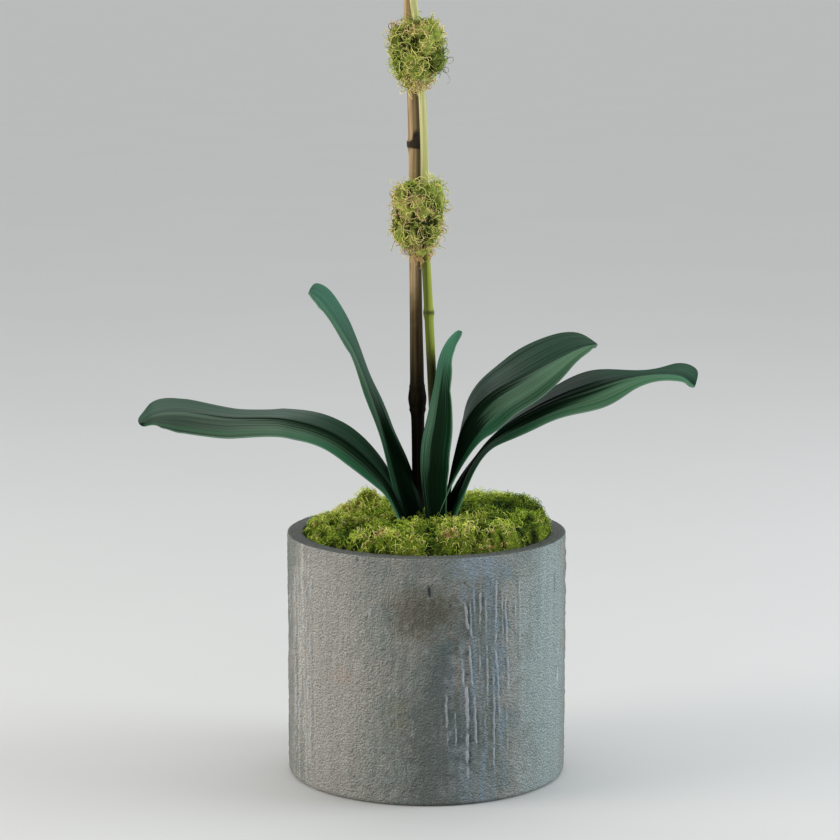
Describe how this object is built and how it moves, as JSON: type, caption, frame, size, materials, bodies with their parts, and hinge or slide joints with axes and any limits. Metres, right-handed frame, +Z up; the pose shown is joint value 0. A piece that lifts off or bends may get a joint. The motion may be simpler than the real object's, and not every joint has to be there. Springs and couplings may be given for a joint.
{
  "type": "potted moth orchid",
  "caption": "Moth orchid with strap leaves and a staked, arching flower spike in bloom, standing in moss in a plain cylindrical stone-look pot.",
  "frame": {"origin": "centre of the pot's flat foot, on the surface that it stands on", "axes": "+Z up along the pot's axis, +X to the right and +Y to the back as the picture shows the plant"},
  "size_m": [0.4339, 0.178, 0.754],
  "materials": {
    "pot": "rough cast, stippled",
    "medium": "coarse bark chips",
    "moss": "curly dry moss",
    "crown": "fibrous stem and roots",
    "leaf": "satin leaf skin",
    "cane": "smooth cane bark",
    "spike": "satin stem skin",
    "tie": "curly dry moss",
    "petal": "velvety petal",
    "lip": "waxy petal",
    "bud": "waxy bud skin"
  },
  "bodies": {
    "root": {"pot": "pot", "potting_medium": "medium", "moss": "moss", "crown": "crown", "leaf_centre": "leaf", "leaf_left_long": "leaf", "leaf_right_broad": "leaf", "leaf_right_long": "leaf", "leaf_left_upright": "leaf", "cane": "cane", "spike": "spike", "moss_tie_1": "tie", "moss_tie_2": "tie", "moss_tie_3": "tie", "bloom_1": "petal", "bloom_2": "petal", "bloom_3": "petal", "bloom_4": "petal", "bloom_5": "petal", "bloom_6": "petal", "bloom_7": "petal", "lip_1": "lip", "lip_2": "lip", "lip_3": "lip", "lip_4": "lip", "lip_5": "lip", "lip_6": "lip", "lip_7": "lip", "bud_1": "bud", "bud_2": "bud", "bud_3": "bud", "bud_4": "bud"}
  },
  "joints": []
}
